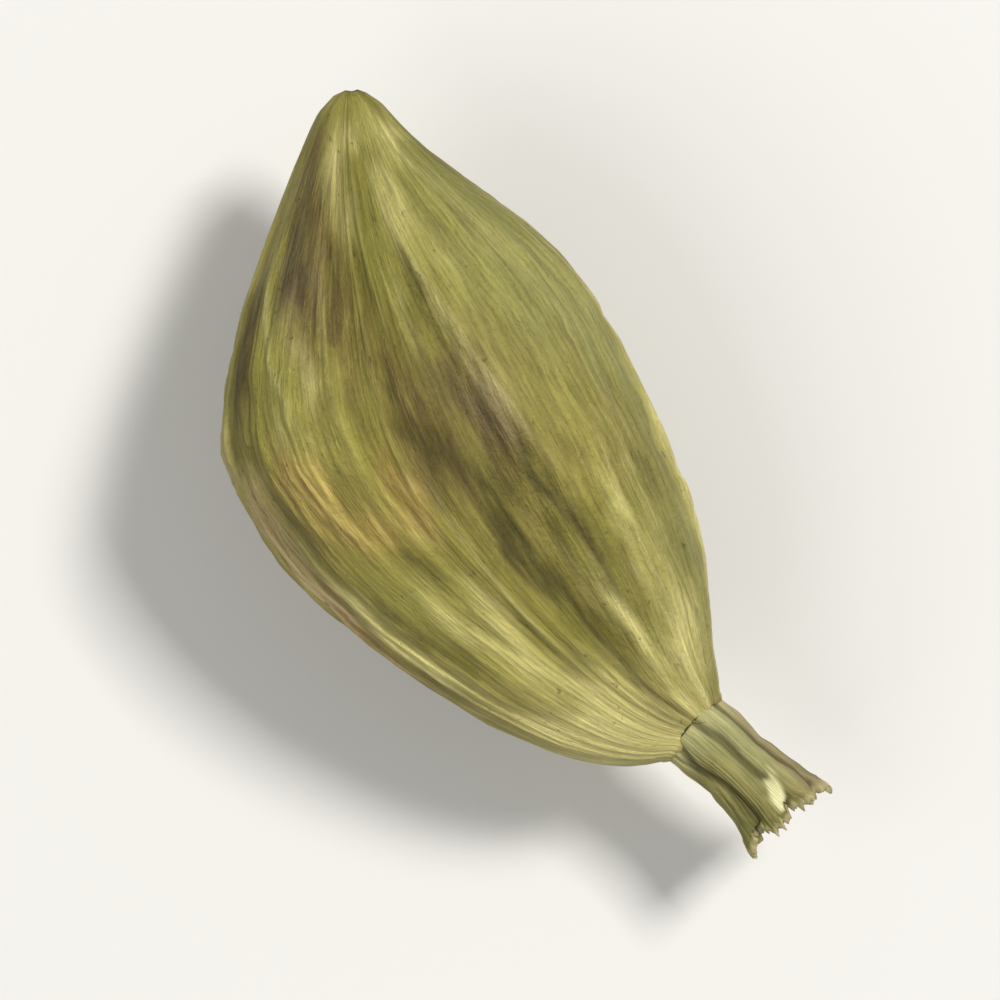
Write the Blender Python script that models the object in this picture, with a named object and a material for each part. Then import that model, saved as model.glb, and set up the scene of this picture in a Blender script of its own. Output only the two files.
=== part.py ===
"""A dried green cardamom pod, lying on the underside of its lowest lobe.

Metres, +Z up. The pod points its tip to -X and its stalk to +X. The origin is the middle of the
small flat spot that it rests on, with the furrow between the two upper lobes looking up.
"""

import math
import random

import bmesh
import bpy

MM = 0.001

# Husk: its size, and how far along it is broadest.
HUSK_LENGTH = 16.2 * MM  # from the tip to the middle of the stalk's root
HUSK_WIDTH = 9.2 * MM
FLATNESS = 0.85  # height against width
BELLY_SHARE = 0.446  # of the length, from the tip
BELLY_X = -0.85 * MM
BELLY_Y = -0.03 * MM
REST_DEPTH = 0.20 * MM  # how much of the round underside the flat spot takes away

# How the width grows from the tip and shrinks towards the stalk.
TIP_TAPER = 1.9
NOSE_SHARE = 0.30  # how much of the width is a blunt nose at the tip
NOSE_POWER = 0.35  # the lower, the blunter
BASE_BLUNT = 0.80
NECK_SHARE = 0.20  # width left at the stalk, against the belly's

# The pod is bent sideways, lifts its ends, and turns its stalk end towards +Y.
BOW = 1.72 * MM
BASE_BOW_EARLY = 1.0  # the stalk end bends sooner than the tip does
NECK_SHIFT = 0.55 * MM
NECK_SHIFT_POWER = 12
END_LIFT = 0.35 * MM
PITCH = 0.06  # the heavier stalk end lies lower

# Both ends are cut square to the bent pod, so their sections lean.
TIP_LEAN = 0.40
BASE_LEAN = 0.45
LEAN_POWER = 4

# Three lobes round the pod, with a furrow between each pair. Angles turn from +Y up to +Z.
LOBES = 3
LOBE_ROUNDNESS = 0.095
LOBE_ANGLE = math.radians(30)
FURROW_ANGLES = (math.radians(79), math.radians(208), math.radians(331))
FURROW_DEPTH = 0.42 * MM
FURROW_SPREAD = math.radians(8)
FURROW_PEAK = 0.35  # along, where the furrows are deepest
FURROW_REACH = 0.75
TIP_FURROW_SPREAD = math.radians(12)  # furrows widen and turn towards the tip
TIP_FURROW_TURN = math.radians(17)

# Ribs run from the tip to the stalk, and converge at both.
RIBS = 30
RIB_HEIGHT = 0.22 * MM
RIB_LEAST = 0.25  # the faintest rib, against the strongest
RIB_SHARPNESS = 1.3
RIB_THINNING = 0.7  # how fast ribs get lower where the pod gets thin
SHORT_RIB_POWER = 5  # every other rib dies out towards the ends, later when this is higher
TIP_SMOOTH_POWER = 14  # no rib reaches the middle of the blunt tip
RIB_FADING = 0.35  # how much a rib comes and goes along its length
RIB_FADING_RATE = 4.5
RIB_SEED = 11
RIB_SWAYS = (  # ribs are unevenly spaced and wander: swing, waves round the pod, drift along it
    (0.045, 3, 0.0),
    (0.045, 7, 0.0),
    (0.035, 2, 2.4),
    (0.021, 5, 4.1),
)

# Spots on the husk: place along, angle, reach along, reach round, and how much.
# At a dent it is a depth, and at a faint spot the share of the ribs' height that is missing.
DENTS = (
    (-0.45, math.radians(98), 0.30, 0.40, 0.26 * MM),
    (0.20, math.radians(158), 0.30, 0.22, 0.20 * MM),
    (0.55, math.radians(40), 0.20, 0.28, 0.16 * MM),
    (-0.10, math.radians(232), 0.25, 0.25, 0.20 * MM),
    (0.45, math.radians(300), 0.28, 0.26, 0.22 * MM),
    (-0.55, math.radians(345), 0.18, 0.30, 0.16 * MM),
)
FAINT_SPOTS = (
    (0.0, math.radians(28), 2.0, 0.60, 0.5),
    (0.1, math.radians(270), 0.5, 0.55, 0.9),
    (0.78, math.radians(138), 0.18, 0.42, 0.6),
    (-0.50, math.radians(112), 0.25, 0.22, 0.5),
)

# Stalk: the fluted stub, with a flared and hollow end.
STALK_LENGTH = 3.2 * MM
STALK_HEADING = (math.radians(25), math.radians(14))  # towards +Y, at the root and at the end
STALK_DROOP = math.radians(9)
ROOT_RADIUS = 0.92 * MM
WAIST_RADIUS = 0.82 * MM
WAIST_SHARE = 0.40
FLARE_RADIUS = 1.12 * MM
FLARE_POWER = 1.6  # the flare opens late
FLARE_FLATNESS = 0.80
FLUTES = 7
FLUTE_DEPTH = 0.12
ROOT_FLUTE_SHARE = 0.5  # flutes are shallower at the root
RIM_WALL = 0.26 * MM
RIM_WAVE = 0.08 * MM
RIM_WAVES = ((1.0, 2, 0.8), (0.6, 5, 0.0))  # strength, waves round the rim, turn
MOUTH = (  # walls inwards from the outside, depth below the rim, share of the rim's wave
    (0.0, 0.0, 1),
    (0.5, -0.05 * MM, 1),
    (1.0, 0.06 * MM, 1),
    (1.5, 0.44 * MM, 0),
    (2.6, 0.80 * MM, 0),
)
JOINT_GAP = 0.03 * MM

# Mesh fineness.
SECTION_STEPS = 360
COLUMNS_PER_RIB = 4
HUSK_RINGS = 36
END_CROWDING = 0.75
STALK_COLUMNS = 42
STALK_RINGS = 12
SMOOTH_ANGLE = math.radians(50)

FULL_TURN = 2 * math.pi
TIP_LENGTH = HUSK_LENGTH * BELLY_SHARE
BASE_LENGTH = HUSK_LENGTH - TIP_LENGTH

rib_draw = random.Random(RIB_SEED)
RIB_SHARES = [rib_draw.uniform(RIB_LEAST, 1) for _ in range(RIBS)]
SWAY_PHASES = [rib_draw.uniform(0, FULL_TURN) for _ in RIB_SWAYS]
FADING_PHASES = [rib_draw.uniform(0, FULL_TURN) for _ in range(RIBS)]


def clear_scene():
    for old in list(bpy.data.objects):
        bpy.data.objects.remove(old, do_unlink=True)


def make_material(name, colour, roughness):
    material = bpy.data.materials.new(name)
    material.use_nodes = True
    shader = material.node_tree.nodes["Principled BSDF"]
    shader.inputs["Base Color"].default_value = (*colour, 1)
    shader.inputs["Roughness"].default_value = roughness
    shader.inputs["Metallic"].default_value = 0
    return material


def husk_material():
    return make_material("dry_green_husk", (0.32, 0.30, 0.10), 0.62)


def stalk_material():
    return make_material("straw_stalk", (0.42, 0.38, 0.18), 0.75)


def angle_apart(angle, other):
    return (angle - other + math.pi) % FULL_TURN - math.pi


def bell(distance):
    return math.exp(-distance * distance)


def blend(start, end, share):
    """An even step from one value to another, level at both ends."""
    share = min(max(share, 0), 1)
    return start + (end - start) * share * share * (3 - 2 * share)


def spot(place, angle, along):
    """How near a point is to the middle of a spot, from 1 there to 0 far away, times how much."""
    spot_along, spot_angle, reach_along, reach_round, amount = place
    distance = math.hypot(
        (along - spot_along) / reach_along,
        angle_apart(angle, spot_angle) / reach_round,
    )
    return amount * bell(distance)


def girth(along):
    """Width at a place along the pod, from -1 at the tip through 0 at the belly to 1 at the stalk."""
    left = 1 - along**2
    if along < 0:
        return NOSE_SHARE * left**NOSE_POWER + (1 - NOSE_SHARE) * left**TIP_TAPER
    return NECK_SHARE + (1 - NECK_SHARE) * left**BASE_BLUNT


def section(angle):
    """The three-lobed outline round the pod, before it is set to its width."""
    reach = 1 + LOBE_ROUNDNESS * math.cos(LOBES * (angle - LOBE_ANGLE))
    return reach * math.cos(angle), reach * math.sin(angle)


OUTLINE = [section(FULL_TURN * step / SECTION_STEPS) for step in range(SECTION_STEPS)]
SECTION_SIDES = min(across for across, _ in OUTLINE), max(across for across, _ in OUTLINE)
SECTION_HALF = (SECTION_SIDES[1] - SECTION_SIDES[0]) / 2
SECTION_MIDDLE = (SECTION_SIDES[1] + SECTION_SIDES[0]) / 2
SECTION_BOTTOM = min(up for _, up in OUTLINE) / SECTION_HALF


def rib_angle(place, along):
    """The angle of a place counted in ribs, which are unevenly spaced and wander a little."""
    turn = FULL_TURN * place / RIBS
    angle = turn
    for (swing, waves, drift), phase in zip(RIB_SWAYS, SWAY_PHASES):
        angle += swing * math.sin(waves * turn + drift * along + phase)
    return angle


def rib_relief(place, angle, along):
    rib = int(place) % RIBS
    ridge = math.sin(math.pi * (place % 1)) ** (2 * RIB_SHARPNESS)
    comes = (1 + math.sin(RIB_FADING_RATE * along + FADING_PHASES[rib])) / 2
    ridge *= RIB_SHARES[rib] * (1 - RIB_FADING * comes)
    ridge *= 1 - max(-along, 0) ** TIP_SMOOTH_POWER
    if rib % 2:
        ridge *= 1 - abs(along) ** SHORT_RIB_POWER
    for faint in FAINT_SPOTS:
        ridge *= 1 - spot(faint, angle, along)
    return RIB_HEIGHT * ridge * girth(along) ** RIB_THINNING


def furrow_relief(angle, along):
    towards_tip = max(-along, 0)
    spread = FURROW_SPREAD + TIP_FURROW_SPREAD * towards_tip
    groove = 0
    for middle in FURROW_ANGLES:
        groove += bell(angle_apart(angle, middle + TIP_FURROW_TURN * towards_tip) / spread)
    return -FURROW_DEPTH * groove * bell((along - FURROW_PEAK) / FURROW_REACH) * girth(along)


def dent_relief(angle, along):
    return -sum(spot(place, angle, along) for place in DENTS) * girth(along)


def husk_axis(along):
    """The middle of the pod's section, which bends sideways and lifts towards both ends."""
    x = BELLY_X + along * (TIP_LENGTH if along < 0 else BASE_LENGTH)
    early = BASE_BOW_EARLY * (1 - along) if along > 0 else 0
    y = BELLY_Y + BOW * along**2 * (1 + early)
    y += NECK_SHIFT * max(along, 0) ** NECK_SHIFT_POWER
    belly_height = -SECTION_BOTTOM * HUSK_WIDTH / 2 * FLATNESS - REST_DEPTH
    return x, y, belly_height + END_LIFT * along**2 - PITCH * x


def husk_point(place, along):
    angle = rib_angle(place, along)
    across, up = section(angle)
    half_width = girth(along) * HUSK_WIDTH / 2
    across = half_width * (across - SECTION_MIDDLE) / SECTION_HALF
    up = half_width * FLATNESS * up / SECTION_HALF
    relief = rib_relief(place, angle, along) + furrow_relief(angle, along)
    relief += dent_relief(angle, along)
    across += relief * math.cos(angle)
    up += relief * math.sin(angle)
    x, y, z = husk_axis(along)
    lean = (TIP_LEAN if along < 0 else -BASE_LEAN) * abs(along) ** LEAN_POWER
    return x + lean * across, y + across, max(z + up, 0)


def husk_stations():
    """Places along the pod, closer together towards both ends. The last is the face at the stalk."""
    for ring in range(1, HUSK_RINGS + 1):
        share = ring / HUSK_RINGS
        share -= END_CROWDING * math.sin(FULL_TURN * share) / FULL_TURN
        length = share * HUSK_LENGTH - TIP_LENGTH
        yield min(length / (TIP_LENGTH if length < 0 else BASE_LENGTH), 1)


def husk_rings():
    columns = RIBS * COLUMNS_PER_RIB
    for along in husk_stations():
        yield [husk_point(column / COLUMNS_PER_RIB, along) for column in range(columns)]


def stalk_radius(share):
    if share < WAIST_SHARE:
        return blend(ROOT_RADIUS, WAIST_RADIUS, share / WAIST_SHARE)
    flare = (share - WAIST_SHARE) / (1 - WAIST_SHARE)
    return WAIST_RADIUS + (FLARE_RADIUS - WAIST_RADIUS) * flare**FLARE_POWER


def stalk_axis(share):
    """The middle and the two headings of the stalk, which bends evenly towards +Y."""
    root, end = STALK_HEADING
    heading = root + (end - root) * share
    radius = STALK_LENGTH / (end - root)
    x, y, z = husk_axis(1)
    x += JOINT_GAP + radius * (math.sin(heading) - math.sin(root))
    y += radius * (math.cos(root) - math.cos(heading))
    z -= STALK_LENGTH * math.sin(STALK_DROOP) * share**2
    return (x, y, z), heading


def stalk_ring(share, radius, sunk=0.0, wave=0.0):
    """One ring round the stalk, sunk below its place towards the root, with a waved edge."""
    (x, y, z), heading = stalk_axis(share)
    flute = FLUTE_DEPTH * blend(ROOT_FLUTE_SHARE, 1, share)
    flatness = blend(FLATNESS, FLARE_FLATNESS, share)
    ring = []
    for column in range(STALK_COLUMNS):
        angle = FULL_TURN * column / STALK_COLUMNS
        reach = radius * (1 + flute * math.cos(FLUTES * angle))
        across = reach * math.cos(angle)
        waved = sum(strength * math.sin(waves * angle + turn) for strength, waves, turn in RIM_WAVES)
        forward = wave * waved - sunk
        ring.append(
            (
                x + forward * math.cos(heading) - across * math.sin(heading),
                y + forward * math.sin(heading) + across * math.cos(heading),
                z + flatness * reach * math.sin(angle),
            )
        )
    return ring


def stalk_rings():
    for step in range(STALK_RINGS):
        share = step / STALK_RINGS
        yield stalk_ring(share, stalk_radius(share), wave=RIM_WAVE * share**3)
    for walls, depth, waved in MOUTH:
        yield stalk_ring(1, stalk_radius(1) - walls * RIM_WALL, sunk=depth, wave=waved * RIM_WAVE)


def middle_of(ring):
    return tuple(sum(values) / len(ring) for values in zip(*ring))


def skin(name, rings, material, tip=None):
    """Skins closed rings of points into one solid, with a fan over the first and the last ring."""
    rings = list(rings)
    mesh = bpy.data.meshes.new(name)
    made = bmesh.new()
    first_point = made.verts.new(tip or middle_of(rings[0]))
    loops = [[made.verts.new(point) for point in ring] for ring in rings]
    last_point = made.verts.new(middle_of(rings[-1]))
    count = len(loops[0])
    for column in range(count):
        after = (column + 1) % count
        made.faces.new((first_point, loops[0][column], loops[0][after]))
        made.faces.new((last_point, loops[-1][after], loops[-1][column]))
        for near, far in zip(loops, loops[1:]):
            made.faces.new((near[column], far[column], far[after], near[after]))
    bmesh.ops.recalc_face_normals(made, faces=made.faces)
    made.to_mesh(mesh)
    made.free()
    mesh.materials.append(material)
    mesh.shade_smooth()
    mesh.set_sharp_from_angle(angle=SMOOTH_ANGLE)
    solid = bpy.data.objects.new(name, mesh)
    bpy.context.scene.collection.objects.link(solid)
    return solid


def make_husk():
    return skin("husk", husk_rings(), husk_material(), tip=husk_axis(-1))


def make_stalk():
    return skin("stalk", stalk_rings(), stalk_material())


def main():
    clear_scene()
    make_husk()
    make_stalk()


main()
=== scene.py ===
import math
import random

import bpy
import numpy as np
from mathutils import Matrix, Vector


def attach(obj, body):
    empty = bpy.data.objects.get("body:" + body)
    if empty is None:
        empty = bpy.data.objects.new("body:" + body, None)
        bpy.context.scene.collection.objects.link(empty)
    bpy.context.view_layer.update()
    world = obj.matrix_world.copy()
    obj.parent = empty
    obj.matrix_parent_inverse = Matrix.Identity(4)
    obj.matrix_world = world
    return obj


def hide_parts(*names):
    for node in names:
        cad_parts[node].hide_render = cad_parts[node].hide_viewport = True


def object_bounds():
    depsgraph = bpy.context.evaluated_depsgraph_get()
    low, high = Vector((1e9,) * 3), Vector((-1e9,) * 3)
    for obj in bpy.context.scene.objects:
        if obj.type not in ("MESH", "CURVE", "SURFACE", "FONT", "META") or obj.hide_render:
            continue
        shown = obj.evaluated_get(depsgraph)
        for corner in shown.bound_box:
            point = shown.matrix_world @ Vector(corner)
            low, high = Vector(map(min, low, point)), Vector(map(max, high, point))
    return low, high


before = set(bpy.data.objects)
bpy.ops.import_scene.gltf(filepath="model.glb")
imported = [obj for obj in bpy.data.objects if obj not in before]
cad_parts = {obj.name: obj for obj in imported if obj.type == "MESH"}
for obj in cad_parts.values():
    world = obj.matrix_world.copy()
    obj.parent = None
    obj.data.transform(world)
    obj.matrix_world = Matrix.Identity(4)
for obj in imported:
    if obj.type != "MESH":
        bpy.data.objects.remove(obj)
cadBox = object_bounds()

mm = 0.001
fullTurn = 2 * math.pi


# Helpers for meshes

def deselectAll():
    bpy.ops.object.select_all(action="DESELECT")


def pointsOf(piece):
    points = np.empty(len(piece.data.vertices) * 3)
    piece.data.vertices.foreach_get("co", points)
    return points.reshape(-1, 3)


def movePoints(piece, x, y, z):
    piece.data.vertices.foreach_set("co", np.stack([x, y, z], axis=1).ravel())
    piece.data.update()


def addNumbers(piece, numbers):  # by name, one number for each point, which a material reads
    for name, values in numbers.items():
        layer = piece.data.attributes.new(name, "FLOAT", "POINT")
        layer.data.foreach_set("value", np.asarray(values, float))


def addVectors(piece, name, x, y, z):
    layer = piece.data.attributes.new(name, "FLOAT_VECTOR", "POINT")
    layer.data.foreach_set("vector", np.stack([x, y, z], axis=1).ravel())


def cutAcross(piece, cuts):  # new loops across the edges that run the whole length along X
    bpy.ops.object.mode_set(mode="EDIT")
    bpy.ops.mesh.select_mode(type="EDGE")
    bpy.ops.mesh.select_all(action="DESELECT")
    bpy.ops.object.mode_set(mode="OBJECT")
    for edge in piece.data.edges:
        start, end = (piece.data.vertices[corner].co.x for corner in edge.vertices)
        edge.select = abs(end - start) > piece.dimensions.x / 2
    bpy.ops.object.mode_set(mode="EDIT")
    bpy.ops.mesh.subdivide(number_cuts=cuts)
    bpy.ops.object.mode_set(mode="OBJECT")


# A closed tube along X, from -1 to 1, with fans at its ends. Also for each point: the column and
# the loop that it is on, and whether it is the middle of an end.

def startTube(name, columns, loops):
    deselectAll()
    bpy.ops.mesh.primitive_cylinder_add(
        vertices=columns, radius=1, depth=2, end_fill_type="TRIFAN", rotation=(0, math.pi / 2, 0)
    )
    piece = bpy.context.object
    piece.name = piece.data.name = name
    bpy.ops.object.transform_apply(location=True, rotation=True, scale=True)
    cutAcross(piece, loops - 2)
    x, y, z = pointsOf(piece).T
    column = np.round((np.arctan2(z, y) % fullTurn) / fullTurn * columns)
    loop = np.round((x + 1) / 2 * (loops - 1)).astype(int)
    return piece, column, loop, np.hypot(y, z) < 0.5


def dress(piece, material, node):
    piece.data.materials.clear()
    piece.data.materials.append(material)
    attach(piece, "root")
    if node:
        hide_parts(node)


# Shaping formulas, which work on whole arrays of points

def bell(distance):
    return np.exp(-distance * distance)


def ease(value, start, end):  # 0 at start and before it, 1 at end and after it, smooth between
    share = np.clip((value - start) / (end - start), 0, 1)
    return share * share * (3 - 2 * share)


def apart(angle, other):  # half a turn at most, either way
    return (angle - other + math.pi) % fullTurn - math.pi


def spotsOn(spots, along, angle):  # a spot: along, angle, reach along, reach round, amount
    total = np.zeros_like(along)
    for spotAlong, spotAngle, reachAlong, reachRound, amount in spots:
        awayAlong = (along - spotAlong) / reachAlong
        awayRound = apart(angle, math.radians(spotAngle)) / reachRound
        total += amount * bell(np.hypot(awayAlong, awayRound))
    return total


# Smooth noise that closes on itself round a piece. Around goes from 0 to 1, along from -1 to 1,
# and kind holds how much it is, cells round the piece, cells along it, and a seed.

def unevenness(kind, around, along):
    amount, cellsAround, cellsAlong, seed = kind
    grid = np.random.default_rng(seed).uniform(-1, 1, (cellsAround, cellsAlong + 3))
    u = (around % 1) * cellsAround
    v = np.clip((along + 1) / 2, 0, 1) * cellsAlong
    i, j = np.floor(u).astype(int) % cellsAround, np.floor(v).astype(int)
    a, b = u - np.floor(u), v - j
    a, b = a * a * (3 - 2 * a), b * b * (3 - 2 * b)
    after = (i + 1) % cellsAround
    near = grid[i, j] * (1 - a) + grid[after, j] * a
    far = grid[i, j + 1] * (1 - a) + grid[after, j + 1] * a
    return amount * (near * (1 - b) + far * b)


# Helpers for materials

def paint(red, green, blue):  # a picture's colour, 0 to 255, turned into the shader's own
    values = [channel / 255 for channel in (red, green, blue)]
    return tuple(v / 12.92 if v < 0.04 else ((v + 0.055) / 1.055) ** 2.4 for v in values) + (1,)


def newMaterial(name):
    material = bpy.data.materials.new(name)
    material.use_nodes = True
    return material, material.node_tree, material.node_tree.nodes["Principled BSDF"]


def add(tree, kind, inputs=None, **settings):  # inputs are values or other nodes' outputs
    made = tree.nodes.new("ShaderNode" + kind)
    for name, value in settings.items():
        setattr(made, name, value)
    for key, value in (inputs or {}).items():
        if isinstance(value, bpy.types.NodeSocket):
            tree.links.new(value, made.inputs[key])
        else:
            made.inputs[key].default_value = value
    return made


def calc(tree, operation, first, second=0.0, clamp=False):
    return add(tree, "Math", {0: first, 1: second}, operation=operation, use_clamp=clamp).outputs[0]


def spread(tree, value, low, high, newLow=0.0, newHigh=1.0):
    limits = {"Value": value, 1: low, 2: high, 3: newLow, 4: newHigh}
    return add(tree, "MapRange", limits, interpolation_type="SMOOTHSTEP").outputs[0]


def mix(tree, amount, under, over, kind="MIX"):
    blend = {0: amount, 6: under, 7: over}
    return add(tree, "Mix", blend, data_type="RGBA", blend_type=kind).outputs[2]


def shade(tree, colour, tone):  # a colour made lighter or darker by a number round 1
    grey = add(tree, "CombineColor", {0: tone, 1: tone, 2: tone}).outputs[0]
    return mix(tree, 1.0, colour, grey, "MULTIPLY")


def noise(tree, place, pattern):  # pattern: stretch on three axes, detail, roughness, wander
    *stretch, detail, roughness, wander = pattern
    scaled = add(tree, "VectorMath", {0: place, 1: stretch}, operation="MULTIPLY").outputs[0]
    options = {"Scale": 1.0, "Detail": detail, "Roughness": roughness, "Distortion": wander}
    return add(tree, "TexNoise", {"Vector": scaled, **options}).outputs[0]


def attribute(tree, name, output="Fac"):
    return add(tree, "Attribute", attribute_name=name).outputs[output]


def coat(tree, colour, value, layer, times=None):  # layer: value from and to, cover there, colour
    *limits, over = layer
    cover = spread(tree, value, *limits)
    if times is not None:
        cover = calc(tree, "MULTIPLY", cover, times)
    return mix(tree, cover, colour, paint(*over))


def surface(tree, shader, colour, height, look):  # what every piece's shader gets
    strength, depth = look["bump"]
    relief = add(tree, "Bump", {"Height": height, "Strength": strength, "Distance": depth})
    tree.links.new(colour, shader.inputs["Base Color"])
    tree.links.new(relief.outputs["Normal"], shader.inputs["Normal"])
    shader.inputs["Specular IOR Level"].default_value = look["gloss"]


# Husk. Along goes from -1 at the tip over 0 at the widest place to 1 at the stalk. Angles go
# round that line in degrees, 0 at one side and 90 on top. Reaches and widths round it are in
# radians.

husk = {
    "columnsPerRib": 20,
    "bodyRings": 150,
    # form, as in the solid
    "length": 16.2 * mm,
    "width": 9.2 * mm,
    "flatness": 0.85,  # height against width
    "bellyShare": 0.446,  # how much of the length is before the widest place
    "bellyX": -0.85 * mm,
    "bellyY": -0.03 * mm,
    "restDepth": 0.20 * mm,  # how much of the belly the flat spot takes off
    "tipTaper": 1.9,
    "noseShare": 0.30,
    "nosePower": 0.35,
    "noseRounding": 0.36,  # the skin's very tip is this much slimmer than the solid's
    "noseReach": 0.035,
    "baseBlunt": 0.80,
    "neckShare": 0.20,
    "bow": 1.72 * mm,
    "bowEarly": 1.0,
    "neckShift": 0.55 * mm,
    "neckShiftPower": 12,
    "endLift": 0.35 * mm,
    "pitch": 0.06,
    "tipLean": 0.40,
    "baseLean": 0.45,
    "leanPower": 4,
    "lobes": 3,
    "lobeRoundness": 0.095,
    "lobeAngle": 30,
    "furrowAngles": (79, 208, 331),
    "furrowDepth": 0.42 * mm,
    "furrowSpread": math.radians(8),
    "furrowPeak": 0.35,
    "furrowReach": 0.75,
    "tipFurrowSpread": math.radians(12),
    "tipFurrowTurn": math.radians(17),
    "ribs": 30,
    "ribHeight": 0.22 * mm,
    "ribLeast": 0.25,
    "ribSharpness": 1.3,
    "ribThinning": 0.7,
    "shortRibPower": 5,
    "tipSmoothPower": 14,
    "ribFading": 0.35,
    "ribFadingRate": 4.5,
    "ribSeed": 11,
    # swing in radians, waves round the pod, drift along it
    "ribSways": ((0.045, 3, 0.0), (0.045, 7, 0.0), (0.035, 2, 2.4), (0.021, 5, 4.1)),
    # along, angle, reach along, reach round, depth or share of the ribs' height that is missing
    "dents": (
        (-0.45, 98, 0.3, 0.4, 0.26 * mm), (0.2, 158, 0.3, 0.22, 0.2 * mm),
        (0.55, 40, 0.2, 0.28, 0.16 * mm), (-0.1, 232, 0.25, 0.25, 0.2 * mm),
        (0.45, 300, 0.28, 0.26, 0.22 * mm), (-0.55, 345, 0.18, 0.3, 0.16 * mm),
    ),
    "faintSpots": (
        (0.0, 28, 2.0, 0.6, 0.5), (0.1, 270, 0.5, 0.55, 0.9),
        (0.78, 138, 0.18, 0.42, 0.6), (-0.5, 112, 0.25, 0.22, 0.5),
    ),
    # finer forms, which only this skin has
    "shrink": 0.035 * mm,  # it lies this much lower, so that its ridges stay within the solid
    "crestGain": 0.42,  # how much of a rib is a thin sharp vein
    "crestWidth": 0.085,  # in ribs
    "ribSkew": (0.80, 1.28),
    "ribLevel": 0.92,
    "softSpots": ((0.50, 112, 0.34, 0.24, 0.45), (0.30, 132, 0.30, 0.20, 0.35)),  # as faintSpots
    # thin veins between the ribs and short slanting links; the widths, slopes and sways are in ribs
    "veins": {"number": 64, "reach": (0.25, 1.0), "slope": (-0.25, 0.25), "sway": 0.14,
              "height": (0.025 * mm, 0.085 * mm)},
    "links": {"number": 46, "reach": (0.10, 0.20), "slope": (2.0, 4.0), "sway": 0.05,
              "height": (0.02 * mm, 0.05 * mm)},
    "veinMiddle": 0.8,  # their middles are no further than this from the widest place
    "veinWaves": (3, 7),
    "veinWidth": (0.06, 0.12),
    "veinGirth": 0.35,  # where the pod is slimmer than this, they get thinner with it
    "veinFade": 0.6,  # share of the reach where they start to fade
    "veinSeed": 5,
    # along from and to, angle from and to, height, half width
    "longVeins": (
        (-0.88, 0.36, 80, 62, 0.08 * mm, 0.022), (-0.42, 0.22, 74, 68, 0.05 * mm, 0.016),
        (-0.72, 0.04, 147, 121, 0.06 * mm, 0.024), (-0.35, 0.97, 157, 146, 0.09 * mm, 0.028),
        (-0.6, 0.85, 19, 12, 0.04 * mm, 0.026), (0.02, 0.74, 98, 105, 0.05 * mm, 0.018),
        (0.18, 0.9, 47, 52, 0.045 * mm, 0.018), (-0.65, 0.55, 282, 286, 0.07 * mm, 0.024),
        (-0.4, 0.8, 196, 200, 0.06 * mm, 0.022), (-0.5, 0.6, 243, 238, 0.05 * mm, 0.02),
        (-0.2, 0.9, 322, 318, 0.05 * mm, 0.02),
    ),
    "longCreases": (
        (-0.48, 0.0, 80, 72, 0.07 * mm, 0.02), (0.08, 0.64, 70, 64, 0.075 * mm, 0.022),
        (0.0, 0.96, 84, 85, 0.085 * mm, 0.024), (-0.78, -0.42, 136, 131, 0.045 * mm, 0.02),
        (0.05, 0.62, 163, 166, 0.06 * mm, 0.022), (0.1, 0.62, 205, 210, 0.07 * mm, 0.022),
        (-0.4, 0.2, 216, 211, 0.06 * mm, 0.02), (0.05, 0.75, 328, 334, 0.07 * mm, 0.022),
        (-0.3, 0.3, 258, 255, 0.05 * mm, 0.02),
    ),
    "lineFade": 0.2,
    # lumps over the seeds, in two rows to a lobe; stray and reach are along, then round the pod
    "seeds": {"inRow": 8, "first": -0.72, "step": 0.2, "offMiddle": 21, "stray": (0.05, 5),
              "reach": (0.10, 0.26), "swell": (0.4, 1), "level": 0.6, "height": 0.09 * mm,
              "seed": 8},
    # a pit with a low rim, where the flower was; only what lies before "within" belongs to it
    "scar": {"within": -0.8, "radius": 0.24 * mm, "pit": 0.10 * mm, "pitSteepness": 1.7,
             "rim": 0.03 * mm, "rimSteepness": 2.2, "stainSteepness": 0.9},
    # how far the skin laps over the stalk, and how wide it is there against its end
    "lip": ((0.04 * mm, 1.0), (0.10 * mm, 0.985), (0.16 * mm, 0.95), (0.20 * mm, 0.90),
            (0.20 * mm, 0.85), (0.12 * mm, 0.80), (0.0, 0.78)),
    "lipLeast": 0.35,
    # unevenness: how much, cells round the pod, cells along it, seed
    "ribWiggle": (0.16, 15, 12, 51),
    "ribUnevenness": (0.30, 30, 11, 21),
    "lineSway": (0.02, 12, 16, 81),
    "striae": (0.022 * mm, 210, 14, 31),
    "cockles": (0.045 * mm, 44, 24, 32),
    "wrinkles": (0.026 * mm, 90, 66, 33),
    "lipRaggedness": (0.5, 24, 2, 61),
    "stainsRaggedAlong": ((0.05, 40, 14, 71), (0.03, 150, 30, 72)),
    "stainsRaggedRound": ((0.05, 30, 16, 73), (0.02, 120, 40, 74)),
}

tipLength = husk["length"] * husk["bellyShare"]
baseLength = husk["length"] - tipLength

ribDraw = random.Random(husk["ribSeed"])
ribShares = np.array([ribDraw.uniform(husk["ribLeast"], 1) for _ in range(husk["ribs"])])
swayPhases = [ribDraw.uniform(0, fullTurn) for _ in husk["ribSways"]]
fadingPhases = np.array([ribDraw.uniform(0, fullTurn) for _ in range(husk["ribs"])])
ribSkews = np.array([ribDraw.uniform(*husk["ribSkew"]) for _ in range(husk["ribs"])])


def outlineAt(angle):
    fromLobe = angle - math.radians(husk["lobeAngle"])
    reach = 1 + husk["lobeRoundness"] * np.cos(husk["lobes"] * fromLobe)
    return reach * np.cos(angle), reach * np.sin(angle)


acrossRound, upRound = outlineAt(np.radians(np.arange(360)))
outlineHalf = (acrossRound.max() - acrossRound.min()) / 2
outlineMiddle = (acrossRound.max() + acrossRound.min()) / 2
outlineBottom = upRound.min() / outlineHalf


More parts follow.
